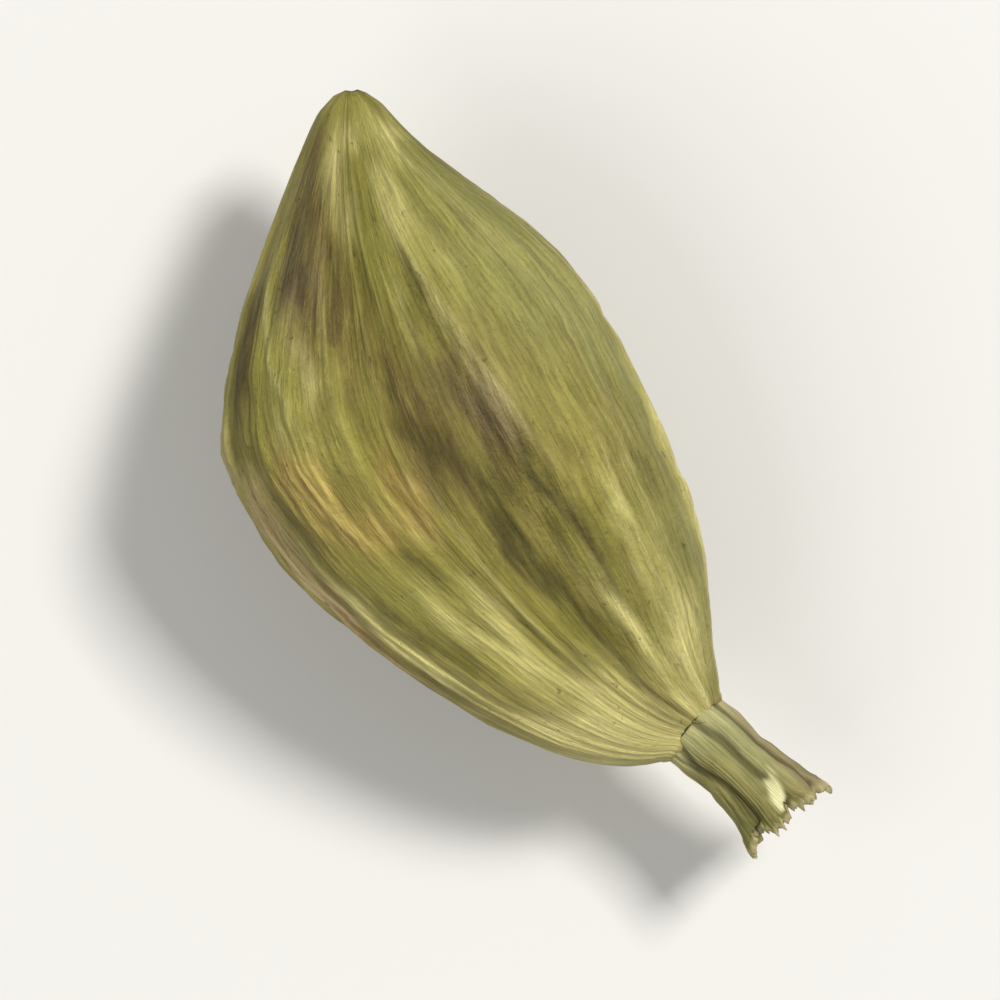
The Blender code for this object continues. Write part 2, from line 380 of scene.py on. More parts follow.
def girthAt(along):
    left = np.clip(1 - along**2, 0, 1)
    nose = husk["noseShare"]
    towardsTip = nose * left ** husk["nosePower"] + (1 - nose) * left ** husk["tipTaper"]
    towardsTip = towardsTip * (1 - husk["noseRounding"] * bell((along + 1) / husk["noseReach"]))
    towardsBase = husk["neckShare"] + (1 - husk["neckShare"]) * left ** husk["baseBlunt"]
    return np.where(along < 0, towardsTip, towardsBase)


def huskAxis(along):
    towardsBase = np.maximum(along, 0)
    x = husk["bellyX"] + along * np.where(along < 0, tipLength, baseLength)
    early = np.where(along > 0, husk["bowEarly"] * (1 - along), 0)
    y = husk["bellyY"] + husk["bow"] * along**2 * (1 + early)
    y += husk["neckShift"] * towardsBase ** husk["neckShiftPower"]
    bellyHeight = -outlineBottom * husk["width"] / 2 * husk["flatness"] - husk["restDepth"]
    return x, y, bellyHeight + husk["endLift"] * along**2 - husk["pitch"] * x


def evenStations(count):  # places from the tip to the stalk, at even steps over the skin
    # measured on a line that is cut finest at the tip, where the girth grows fast
    fine = np.concatenate(([-1], np.geomspace(1e-7, 1, 2000) - 1, np.linspace(0.001, 1, 1500)))
    steps = np.hypot(np.diff(huskAxis(fine)[0]), np.diff(girthAt(fine) * husk["width"] / 2))
    distance = np.concatenate(([0], np.cumsum(steps)))
    return np.interp(np.linspace(0, distance[-1], count + 1), distance, fine)


def ribAngle(place, along):  # place is counted in ribs round the pod
    turn = fullTurn * place / husk["ribs"]
    angle = turn
    for (swing, waves, drift), phase in zip(husk["ribSways"], swayPhases):
        angle = angle + swing * np.sin(waves * turn + drift * along + phase)
    return angle


def ribRidge(place, angle, along):  # 1 on a crest, 0 in a valley
    around = place / husk["ribs"]
    place = place + unevenness(husk["ribWiggle"], around, along)
    rib = np.floor(place).astype(int) % husk["ribs"]
    skewed = (place % 1) ** ribSkews[rib]
    full = np.sin(math.pi * skewed) ** (2 * husk["ribSharpness"])
    crest = np.exp(-np.abs(skewed - 0.5) / husk["crestWidth"])
    ridge = full * (1 - husk["crestGain"]) + crest * husk["crestGain"]
    comes = (1 + np.sin(husk["ribFadingRate"] * along + fadingPhases[rib])) / 2
    ridge = ridge * ribShares[rib] * (1 - husk["ribFading"] * comes)
    ridge = ridge * (1 - np.maximum(-along, 0) ** husk["tipSmoothPower"])
    ridge = ridge * np.where(rib % 2 == 1, 1 - np.abs(along) ** husk["shortRibPower"], 1)
    ridge = ridge * (1 - np.clip(spotsOn(husk["faintSpots"], along, angle), 0, 1))
    ridge = ridge * (1 - spotsOn(husk["softSpots"], along, angle))
    wholeRib = (rib + 0.5) / husk["ribs"]
    return ridge * (husk["ribLevel"] + unevenness(husk["ribUnevenness"], wholeRib, along))


def veinNetwork(place, along, girth):  # thin veins between the ribs, and short slanting links
    draw = np.random.default_rng(husk["veinSeed"])
    ribs, furthest = husk["ribs"], husk["veinMiddle"]
    relief = np.zeros_like(place)
    for kind in ["veins"] * husk["veins"]["number"] + ["links"] * husk["links"]["number"]:
        middle = draw.uniform(-furthest, furthest)
        reach = draw.uniform(*husk[kind]["reach"])
        side = draw.choice([-1, 1]) if kind == "links" else 1
        slope = side * draw.uniform(*husk[kind]["slope"])
        height = draw.uniform(*husk[kind]["height"])
        width = draw.uniform(*husk["veinWidth"]) / np.maximum(girth, husk["veinGirth"])
        centre = draw.uniform(0, ribs) + slope * (along - middle)
        wave = np.sin(draw.uniform(*husk["veinWaves"]) * along + draw.uniform(0, fullTurn))
        centre = centre + husk[kind]["sway"] * wave
        distance = (place - centre + ribs / 2) % ribs - ribs / 2
        fade = 1 - ease(np.abs(along - middle), husk["veinFade"] * reach, reach)
        relief = np.maximum(relief, height * fade * bell(distance / width))
    return relief


def longLines(lines, angle, along):  # how high the long veins or creases are, and where they run
    relief, run = np.zeros_like(along), np.zeros_like(along)
    for start, end, startAngle, endAngle, height, width in lines:
        share = np.clip((along - start) / (end - start), 0, 1)
        line = bell(apart(angle, np.radians(startAngle + (endAngle - startAngle) * share)) / width)
        line = line * ease(along, start, start + husk["lineFade"])
        line = line * (1 - ease(along, end - husk["lineFade"], end))
        relief = np.maximum(relief, height * line)
        run = np.maximum(run, line)
    return relief, run


def furrowAt(angle, along):  # 1 in the middle of a furrow, 0 away from it
    towardsTip = np.maximum(-along, 0)
    width = husk["furrowSpread"] + husk["tipFurrowSpread"] * towardsTip
    groove = np.zeros_like(along)
    for middle in husk["furrowAngles"]:
        turned = math.radians(middle) + husk["tipFurrowTurn"] * towardsTip
        groove += bell(apart(angle, turned) / width)
    return groove * bell((along - husk["furrowPeak"]) / husk["furrowReach"])


def seedLumps(along, angle):  # the skin bulges over the seeds and sinks a little between them
    seeds = husk["seeds"]
    strayAlong, strayRound = seeds["stray"]
    draw = np.random.default_rng(seeds["seed"])
    lumps = []
    for lobe in range(husk["lobes"]):
        for side in (-1, 1):
            row = husk["lobeAngle"] + 360 / husk["lobes"] * lobe + side * seeds["offMiddle"]
            for number in range(seeds["inRow"]):
                place = seeds["first"] + number * seeds["step"]
                place += draw.uniform(-strayAlong, strayAlong)
                turned = row + draw.uniform(-strayRound, strayRound)
                lumps.append((place, turned, *seeds["reach"], draw.uniform(*seeds["swell"])))
    return seeds["height"] * (spotsOn(lumps, along, angle) - seeds["level"])


# Where the stains lie: along, angle, reach along, reach round, amount; some brown and dark ones are
# painted shadow

husk["stains"] = {
    "cool": (
        (-0.5, 38, 0.32, 0.4, 0.8), (-0.15, 45, 0.26, 0.35, 0.65),
        (0.1, 28, 0.3, 0.22, 0.5), (0.6, 30, 0.3, 0.26, 0.6),
        (-0.2, 165, 0.12, 0.16, 0.8), (0.2, 305, 0.5, 0.35, 0.5),
        (-0.45, 205, 0.3, 0.22, 0.5),
    ),
    "fresh": (
        (-0.86, 75, 0.16, 1.1, 0.8), (-0.55, 143, 0.1, 0.09, 0.9),
        (-0.36, 134, 0.12, 0.1, 1.0), (-0.24, 127, 0.12, 0.09, 0.9),
        (-0.05, 124, 0.12, 0.08, 0.7), (0.36, 108, 0.1, 0.07, 0.7),
        (0.45, 124, 0.1, 0.08, 0.5), (0.58, 116, 0.12, 0.1, 0.7),
        (-0.5, 90, 0.14, 0.1, 0.9), (-0.32, 86, 0.14, 0.07, 0.7),
        (-0.45, 50, 0.3, 0.3, 0.5), (0.4, 53, 0.1, 0.07, 0.7),
        (0.0, 305, 0.45, 0.35, 0.7), (-0.4, 205, 0.3, 0.2, 0.65),
        (0.4, 235, 0.25, 0.18, 0.6),
    ),
    "pale": (
        (0.95, 125, 0.12, 0.65, 1.8), (0.74, 108, 0.08, 0.14, 0.6),
        (0.79, 141, 0.1, 0.14, 1.1), (0.91, 55, 0.09, 0.15, 0.75),
        (0.84, 102, 0.08, 0.12, 0.5), (0.81, 42, 0.11, 0.16, 0.74),
        (0.75, 60, 0.08, 0.06, 0.3), (0.3, 43, 0.08, 0.07, 0.2),
        (1.0, 72, 0.06, 0.18, 0.9), (0.73, 69, 0.13, 0.06, 1.15),
        (0.54, 76, 0.1, 0.04, 0.35), (0.52, 53, 0.24, 0.05, 0.55),
        (0.58, 43, 0.24, 0.07, 0.3), (0.48, 124, 0.1, 0.06, 0.5),
        (-0.66, 46, 0.12, 0.1, 0.25), (-0.42, 44, 0.14, 0.1, 0.25),
        (-0.62, 68, 0.16, 0.12, 0.45), (-0.78, 51, 0.08, 0.14, 0.4),
        (-0.64, 98, 0.08, 0.1, 0.5), (-0.27, 122, 0.09, 0.05, 0.7),
        (-0.1, 131, 0.1, 0.05, 0.35), (0.02, 146, 0.07, 0.05, 0.4),
        (-0.32, 84, 0.14, 0.06, 0.35), (-0.39, 59, 0.1, 0.09, 0.2),
        (-0.5, 74, 0.1, 0.08, 0.15), (-0.41, 127, 0.07, 0.06, 0.25),
        (0.15, -15, 0.14, 0.12, 0.38), (0.46, -16, 0.14, 0.12, 0.25),
        (0.26, 109, 0.05, 0.05, 0.25), (-0.7, 108, 0.08, 0.1, 0.35),
        (0.9, 240, 0.12, 0.6, 0.9), (0.93, 338, 0.1, 0.75, 0.85),
        (0.53, 145, 0.14, 0.08, 1.05), (0.34, 146, 0.12, 0.05, 0.8),
        (0.3, 14, 0.4, 0.1, 0.4), (0.65, 12, 0.3, 0.14, 0.5),
        (0.52, 112, 0.1, 0.08, 0.6), (0.64, 118, 0.1, 0.12, 0.6),
        (-0.78, 112, 0.08, 0.14, 0.8), (-0.84, 48, 0.06, 0.25, 0.8),
        (-0.87, 93, 0.06, 0.28, 0.74), (0.3, 283, 0.4, 0.06, 0.6),
        (-0.1, 197, 0.4, 0.06, 0.6),
    ),
    # the brown spots at (-0.82, 134), (-0.4, 149), (0.22, 180) and (0.24, 188) are partly brown and
    # partly painted shadow of neighbouring pods
    "brown": (
        (-0.82, 134, 0.12, 0.2, 0.9), (-0.67, 126, 0.13, 0.24, 1.0),
        (-0.5, 117, 0.17, 0.28, 1.0), (-0.32, 108, 0.17, 0.2, 0.68),
        (-0.12, 94, 0.14, 0.17, 0.9), (0.06, 94, 0.09, 0.13, 1.1),
        (0.22, 91, 0.12, 0.09, 0.7), (0.22, 180, 0.24, 0.13, 0.95),
        (0.24, 188, 0.14, 0.14, 0.9), (0.27, 149, 0.14, 0.08, 0.6),
        (-0.03, 53, 0.11, 0.07, 0.4), (-0.13, 124, 0.08, 0.06, 0.4),
        (0.52, 180, 0.2, 0.12, 0.65), (0.22, 138, 0.09, 0.07, 0.6),
        (0.08, 138, 0.05, 0.06, 0.6), (0.15, 101, 0.08, 0.07, 0.95),
        (-0.4, 149, 0.16, 0.11, 0.95), (0.12, 70, 0.2, 0.12, 0.7),
        (-0.12, 66, 0.12, 0.09, 0.55), (0.36, 31, 0.14, 0.12, 0.5),
        (0.62, 153, 0.07, 0.06, 0.5), (-0.25, 236, 0.28, 0.22, 0.65),
        (0.45, 262, 0.22, 0.18, 0.55), (-0.55, 318, 0.16, 0.2, 0.6),
        (0.15, 338, 0.35, 0.08, 0.7), (0.72, 215, 0.14, 0.12, 0.6),
    ),
    "blush": (
        (0.06, 152, 0.14, 0.14, 1.0), (0.28, 156, 0.16, 0.1, 0.8),
        (0.5, 160, 0.22, 0.1, 0.8), (-0.1, 170, 0.16, 0.12, 0.6),
        (0.12, 222, 0.25, 0.16, 0.7), (-0.35, 298, 0.2, 0.16, 0.6),
    ),
    "plum": (
        (-0.04, 80, 0.1, 0.12, 0.6), (0.04, 70, 0.1, 0.1, 0.9),
        (-0.52, 126, 0.1, 0.12, 0.8), (0.16, 180, 0.2, 0.1, 0.5),
        (0.3, 258, 0.2, 0.12, 0.6),
    ),
    "tan": (
        (0.02, 132, 0.07, 0.1, 0.8), (0.13, 127, 0.09, 0.14, 1.0),
        (0.22, 119, 0.07, 0.11, 0.8), (0.12, 109, 0.06, 0.06, 0.8),
        (0.21, 107, 0.06, 0.06, 1.1), (0.27, 50, 0.12, 0.14, 0.4),
        (0.1, 222, 0.2, 0.14, 0.7), (-0.3, 292, 0.22, 0.12, 0.65),
        (0.5, 350, 0.2, 0.1, 0.6),
    ),
    # the dark spots at (-0.6, 129) and (-0.36, 150) are partly dark marks and partly painted shadow
    # of neighbouring pods; those along the furrows are partly the seams' brown and partly painted
    # shade in the groove
    "dark": (
        (-0.34, 74, 0.14, 0.035, 0.8), (0.09, 95, 0.07, 0.08, 1.0),
        (0.05, 70, 0.1, 0.05, 0.5), (0.22, 85, 0.14, 0.08, 0.9),
        (-0.36, 150, 0.13, 0.07, 1.0), (0.37, 88, 0.12, 0.09, 1.0),
        (0.45, 93, 0.1, 0.06, 0.9), (0.58, 86, 0.14, 0.055, 0.9),
        (0.66, 79, 0.09, 0.045, 0.8), (0.8, 85, 0.14, 0.055, 0.8),
        (0.92, 81, 0.09, 0.06, 0.8), (0.28, 68, 0.12, 0.05, 0.95),
        (0.52, 66, 0.15, 0.05, 1.0), (0.24, 77, 0.14, 0.05, 0.6),
        (0.31, 119, 0.07, 0.055, 0.75), (0.44, 136, 0.12, 0.035, 0.7),
        (-0.6, 129, 0.15, 0.09, 1.05), (0.3, 208, 0.35, 0.05, 0.8),
        (0.35, 331, 0.35, 0.05, 0.8),
    ),
}


def makeHusk():
    columns = husk["ribs"] * husk["columnsPerRib"]
    loops = husk["bodyRings"] + len(husk["lip"])
    piece, column, loop, middle = startTube("huskSkin", columns, loops)
    place = column / husk["columnsPerRib"]
    isTip, isEnd = middle & (loop == 0), middle & (loop > 0)
    loop = np.where(isTip, 0, loop + 1)
    along = evenStations(husk["bodyRings"])[np.minimum(loop, husk["bodyRings"])]
    around = place / husk["ribs"]
    angle = ribAngle(place, along)
    girth = girthAt(along)
    soft = girth ** husk["ribThinning"]

    ridge = ribRidge(place, angle, along)
    veins = veinNetwork(place, along, girth)
    furrow = furrowAt(angle, along)
    swayed = angle + unevenness(husk["lineSway"], around, along)
    veinHeight, veinRun = longLines(husk["longVeins"], swayed, along)
    creaseDepth, creaseRun = longLines(husk["longCreases"], swayed, along)
    relief = husk["ribHeight"] * ridge * soft
    relief += (veins + veinHeight - creaseDepth) * soft
    relief -= (husk["furrowDepth"] * furrow + husk["shrink"]) * girth
    relief -= spotsOn(husk["dents"], along, angle) * girth
    relief += seedLumps(along, angle) * girth
    relief += unevenness(husk["striae"], around, along) * soft
    relief += unevenness(husk["cockles"], around, along) * girth
    relief += unevenness(husk["wrinkles"], around, along) * girth

    across, up = outlineAt(angle)
    halfWidth = girth * husk["width"] / 2
    across = halfWidth * (across - outlineMiddle) / outlineHalf + relief * np.cos(angle)
    up = halfWidth * husk["flatness"] * up / outlineHalf + relief * np.sin(angle)

    # the lip grips the stalk's root, further forward at some places than at others
    lapped = np.clip(loop - husk["bodyRings"], 0, len(husk["lip"]))
    forward = np.array([0] + [ahead for ahead, _ in husk["lip"]])[lapped]
    narrow = np.array([1] + [share for _, share in husk["lip"]])[lapped]
    ragged = 0.5 + unevenness(husk["lipRaggedness"], around, along * 0)
    forward = forward * (husk["lipLeast"] + (1 - husk["lipLeast"]) * ragged)
    narrow = np.where(isEnd, 0, narrow)
    across, up = across * narrow, up * narrow

    # the flower's scar, in scar radii from the middle of the tip
    scar = husk["scar"]
    fromTip = np.where(along < scar["within"], np.hypot(across, up) / scar["radius"], math.inf)
    sunk = scar["pit"] * bell(fromTip * scar["pitSteepness"])
    sunk -= scar["rim"] * bell((fromTip - 1) * scar["rimSteepness"])

    # onto the bent axis, and never out of the solid's own box
    axisX, axisY, axisZ = huskAxis(along)
    lean = np.where(along < 0, husk["tipLean"], -husk["baseLean"])
    lean = lean * np.abs(along) ** husk["leanPower"]
    heading = math.atan(husk["baseLean"])
    x = axisX + lean * across + forward * math.cos(heading) + sunk + scar["rim"] * bell(fromTip)
    y = axisY + across + forward * math.sin(heading)
    low, high = cadBox
    x, y, z = np.maximum(x, low.x), np.clip(y, low.y, high.y), np.clip(axisZ + up, 0, high.z)
    movePoints(piece, x, y, z)
    bpy.ops.object.shade_smooth()

    # stains have ragged edges, drawn out along the ribs
    stainAlong, stainAngle = along, angle
    for kind in husk["stainsRaggedAlong"]:
        stainAlong = stainAlong + unevenness(kind, around, along)
    for kind in husk["stainsRaggedRound"]:
        stainAngle = stainAngle + unevenness(kind, around, along)
    for name, spots in husk["stains"].items():
        addNumbers(piece, {name: np.clip(spotsOn(spots, stainAlong, stainAngle), 0, 1)})
    addNumbers(piece, {
        "scar": bell(fromTip * scar["stainSteepness"]),
        "veinRun": veinRun,
        "creaseRun": creaseRun,
        "ridge": np.clip(ridge + veins / husk["ribHeight"], 0, 1),
        "furrow": np.clip(furrow, 0, 1),
        "girth": girth,
        "lapped": lapped / len(husk["lip"]),
    })
    turn = fullTurn * around
    addVectors(piece, "grain", np.cos(turn), np.sin(turn), along)
    print("husk", len(piece.data.polygons), "faces")
    return piece


# How the husk looks. Colours are as a picture shows them. A pattern is a noise: stretch on three
# axes, detail, roughness, wander. Four numbers are a value's from and to, and what these become.
# A layer has its colour after them: they say how much it covers of what lies under it.

husk["look"] = {
    "base": (130, 123, 48),
    "patchPattern": (260, 420, 420, 4, 0.6, 0.4),
    "patches": (0.38, 0.62, 0, 1, (168, 158, 76)),
    "streakPattern": (9, 9, 2.2, 4, 0.6, 0.5),
    "lightStreaks": (0.4, 0.66, 0, 0.55, (153, 148, 60)),
    "brownStreaks": (0.46, 0.3, 0, 0.55, (134, 118, 58)),
    # how much a stain covers, and its colour, or two that take turns in flecks
    "stains": {
        "cool": (0.8, (154, 154, 94)),
        "fresh": (0.85, (160, 156, 68)),
        "pale": (0.92, (246, 234, 152)),
        "brown": (0.94, (94, 78, 36), (126, 109, 54)),
        "blush": (0.9, (158, 130, 86), (206, 182, 130)),
        "plum": (0.88, (98, 80, 56), (140, 120, 88)),
        "tan": (0.9, (160, 134, 66), (216, 190, 106)),
    },
    "fleckPattern": (22, 22, 5, 4, 0.6, 0.3),
    "flecks": (0.4, 0.6),
    "raggedPattern": (16, 16, 7, 5, 0.65, 0.5),
    "raggedStains": (0.32, 0.6, 0.6, 1.12),
    "raggedDark": (0.3, 0.6, 0.6, 1),
    # dark marks, painted shadow and painted shade in the creases take this colour
    "darkMarkAndShadeColour": (68, 60, 14),
    "darkMarkAndShadeCover": 0.9,
    "paintedCreaseShade": 0.45,
    "furrow": (0.15, 0.95, 0, 0.35, (108, 94, 44)),
    "clearPattern": (2.4, 2.4, 1.7, 3, 0.6, 0),  # ribs show here clearer, there fainter
    "clearness": (0.36, 0.62, 0.3, 1.15),
    # crests: paler straw, partly the ribs' own colour and partly painted highlight; the valleys
    # after it are painted shade
    "crestsPaleAndLit": (0.3, 0.95, 0, 0.4, (206, 194, 124)),
    "paintedValleyShade": (0, 0.2, 0.26, 0, (98, 86, 36)),
    # long veins: paler, partly their own colour and partly painted highlight
    "longVeins": (0.34, 0.6, 0.1, 0.5, (206, 194, 130)),
    "fibrePattern": (46, 46, 5, 5, 0.68, 0),
    "fibreTone": (0.3, 0.7, 0.74, 1.22),
    "fibreGirth": (0.05, 0.35),  # fibres come in as the pod gets wider
    "speckPattern": (3600, 5600, 5600, 2, 0.5, 0),
    "specks": (0.68, 0.77, 0, 0.55, (84, 64, 34)),
    "scar": (0.15, 0.9, 0, 0.6, (116, 92, 52)),
    "lip": (0, 0.5, 0, 0.6, (172, 150, 98)),
    "wearPattern": (900, 900, 900, 3, 0.55, 0),
    "roughness": (0.3, 0.7, 0.5, 0.68),
    "gloss": 0.4,
    "porePattern": (6500, 9000, 9000, 2, 0.6, 0),
    "poreHeight": 0.3,
    "cracklePattern": (26, 26, 46, 4, 0.6, 0.8),
    "crackleHeight": 0.6,
    "bump": (1, 0.12 * mm),  # strength, depth
}


def huskMaterial():
    look = husk["look"]
    material, tree, shader = newMaterial("driedGreenHusk")
    solid = add(tree, "TexCoord").outputs["Object"]
    grain = attribute(tree, "grain", "Vector")

    # broad patches and streaks of olive and straw
    patches = noise(tree, solid, look["patchPattern"])
    colour = coat(tree, paint(*look["base"]), patches, look["patches"])
    streaks = noise(tree, grain, look["streakPattern"])
    colour = coat(tree, colour, streaks, look["lightStreaks"])
    colour = coat(tree, colour, streaks, look["brownStreaks"])

    # stains, whose edges break up along the fibres
    flecked = spread(tree, noise(tree, grain, look["fleckPattern"]), *look["flecks"])
    ragged = noise(tree, grain, look["raggedPattern"])
    broken = spread(tree, ragged, *look["raggedStains"])
    for name, (cover, *colours) in look["stains"].items():
        over = paint(*colours[0])
        if len(colours) > 1:
            over = mix(tree, flecked, over, paint(*colours[1]))
        amount = calc(tree, "MULTIPLY", attribute(tree, name), broken, True)
        colour = mix(tree, calc(tree, "MULTIPLY", amount, cover, True), colour, over)
    colour = coat(tree, colour, attribute(tree, "furrow"), look["furrow"])

    # paler crests and veins, partly their own straw and partly painted highlight; painted shade in
    # the valleys and creases
    ridge = attribute(tree, "ridge")
    clear = spread(tree, noise(tree, grain, look["clearPattern"]), *look["clearness"])
    colour = coat(tree, colour, ridge, look["crestsPaleAndLit"], clear)
    colour = coat(tree, colour, ridge, look["paintedValleyShade"], clear)
    colour = coat(tree, colour, streaks, look["longVeins"], attribute(tree, "veinRun"))
    # painted shade in the creases, joined with the dark stains, which are partly painted shadow and
    # shade
    sunk = calc(tree, "MULTIPLY", attribute(tree, "creaseRun"), look["paintedCreaseShade"])
    broken = spread(tree, ragged, *look["raggedDark"])
    dark = calc(tree, "MULTIPLY", attribute(tree, "dark"), broken, True)
    dark = calc(tree, "MAXIMUM", sunk, calc(tree, "MULTIPLY", dark, look["darkMarkAndShadeCover"]))
    colour = mix(tree, dark, colour, paint(*look["darkMarkAndShadeColour"]))

    # fibres that follow the ribs
    fibre = noise(tree, grain, look["fibrePattern"])
    onBody = spread(tree, attribute(tree, "girth"), *look["fibreGirth"])
    tone = spread(tree, fibre, *look["fibreTone"])
    tone = add(tree, "Mix", {0: onBody, 2: 1.0, 3: tone}, data_type="FLOAT").outputs[0]
    colour = shade(tree, colour, tone)

    # small dark specks, a brown scar at the tip, and a dry edge at the stalk
    colour = coat(tree, colour, noise(tree, solid, look["speckPattern"]), look["specks"])
    colour = coat(tree, colour, attribute(tree, "scar"), look["scar"])
    colour = coat(tree, colour, attribute(tree, "lapped"), look["lip"])

    wear = noise(tree, solid, look["wearPattern"])
    tree.links.new(spread(tree, wear, *look["roughness"]), shader.inputs["Roughness"])
    pores = calc(tree, "MULTIPLY", noise(tree, solid, look["porePattern"]), look["poreHeight"])
    crackle = noise(tree, grain, look["cracklePattern"])
    crackle = calc(tree, "MULTIPLY", crackle, look["crackleHeight"])
    height = calc(tree, "ADD", calc(tree, "MULTIPLY", fibre, onBody), pores)
    surface(tree, shader, colour, calc(tree, "ADD", height, crackle), look)
    return material


huskPiece = makeHusk()
dress(huskPiece, huskMaterial(), "husk")


# Stalk. A share is of its length, from 0 at the husk to 1 at the rim.

stalk = {
    "columns": 378,
    "rings": 72,
    # form, as in the solid
    "length": 3.2 * mm,
    "sunk": 0.30 * mm,
    "heading": (math.radians(25), math.radians(14)),
    "droop": math.radians(9),
    "rootRadius": 0.92 * mm,
    "waistRadius": 0.82 * mm,
    "waistShare": 0.40,
    "flareRadius": 1.12 * mm,
    "flarePower": 1.6,
    "flareFlatness": 0.80,
    "jointGap": 0.03 * mm,
    # finer forms; depths of strands, threads and knots are shares of the radius
    "rootTuck": 0.06,  # how much slimmer the root is, to slip under the husk's lip
    "tuckShare": 0.22,
    "hiddenSlimness": 0.8,
    "strands": 7,
    "strandDepth": 0.12,
    "strandAtRoot": 0.5,  # how much of the depth is there at the root
    "strandRoundness": 0.6,
    "threadDepth": 0.09,
    "threadLevel": 0.6,
    "threadRoundness": 0.6,
    "threadsFrom": (-0.05, 0.15),
    # forward in mm, and walls in from the outside: the rim's edge, then the hollow behind it
    "mouth": ((0.04, 0.25), (0.03, 0.5), (-0.02, 0.8), (-0.08, 1.0), (-0.12, 1.15), (-0.2, 1.3),
              (-0.25, 1.5), (-0.25, 1.8), (-0.25, 2.2), (-0.12, 2.9), (-0.04, 3.8)),
    "rimWall": 0.13 * mm,
    "inCup": 0.985,  # points nearer the middle than this share of the radius line the hollow
    # the rim's edge: where it starts, waves (how much, number, phase), notches, torn ends
    "rimShare": 0.80,
    "rimWave": 0.064 * mm,
    "rimWaves": ((1, 2, 0.8), (0.6, 5, 0)),
    "rimNotch": 0.20 * mm,
    "rimFray": 0.10 * mm,
    "frayBack": 1.7,
    # marks for the material: angles and reaches in radians
    "upper": {"angle": math.radians(18), "reach": 0.50},
    "faded": {"angle": math.radians(60), "reach": 0.55, "shares": (0.90, 0.40)},
    "fleck": {"share": 0.78, "reachAlong": 0.17, "angle": math.radians(78), "reachRound": 0.24,
              "turn": math.radians(76), "edge": (0.5, 1.15)},  # a painted highlight, laid on the stalk as a pale split strand
    # how deep into the cup the painted shade of the hollow grows
    "hollowShare": 0.22,
    # unevenness: how much, cells round the stalk, cells along it, seed
    "strandSway": (0.16, 5, 4, 44),
    "threads": (1, 63, 2, 41),
    "threadWander": (0.006, 9, 6, 46),
    "threadFading": (0.4, 20, 5, 47),
    "knots": (0.03, 14, 10, 42),
    "rimTears": ((1, 34, 4, 43), (1, 126, 4, 45)),
    "highlightRaggedness": (0.40, 64, 7, 48),
}


def stalkRadius(share):
    waist = stalk["waistShare"]
    narrowing = stalk["waistRadius"] - stalk["rootRadius"]
    root = stalk["rootRadius"] + narrowing * ease(share, 0, waist)
    flare = max((share - waist) / (1 - waist), 0) ** stalk["flarePower"]
    return float(root + (stalk["flareRadius"] - stalk["waistRadius"]) * flare)


def ontoStalk(share, forward, across, up):  # bends what was made straight along the stalk
    root, end = stalk["heading"]
    heading = root + (end - root) * share
    radius = stalk["length"] / (end - root)
    x, y, z = huskAxis(np.array(1.0))
    x = x + stalk["jointGap"] + radius * (np.sin(heading) - math.sin(root))
    y = y + radius * (math.cos(root) - np.cos(heading))
    z = z - stalk["length"] * math.sin(stalk["droop"]) * share**2
    x = x + forward * np.cos(heading) - across * np.sin(heading)
    return x, y + forward * np.sin(heading) + across * np.cos(heading), z + up


def stalkFlatness(share):
    return husk["flatness"] + (stalk["flareFlatness"] - husk["flatness"]) * ease(share, 0, 1)


def stalkRings():  # how far forward and how wide each ring is, from the root to the hollow's bottom
    step = (stalk["length"] + stalk["sunk"]) / stalk["rings"]
    hidden = stalk["hiddenSlimness"] * stalk["rootRadius"]
    places, widths = [], []
    for number in range(stalk["rings"] + 1):
        ahead = number * step - stalk["sunk"]
        width = stalkRadius(ahead / stalk["length"])
        if ahead < 0:
            width = hidden + (width - hidden) * (1 + ahead / stalk["sunk"])
        places.append(ahead)
        widths.append(width)
    for forward, walls in stalk["mouth"]:
        ahead += forward * mm
        places.append(ahead)
        widths.append(width - walls * stalk["rimWall"])
    return np.array(places), np.array(widths)


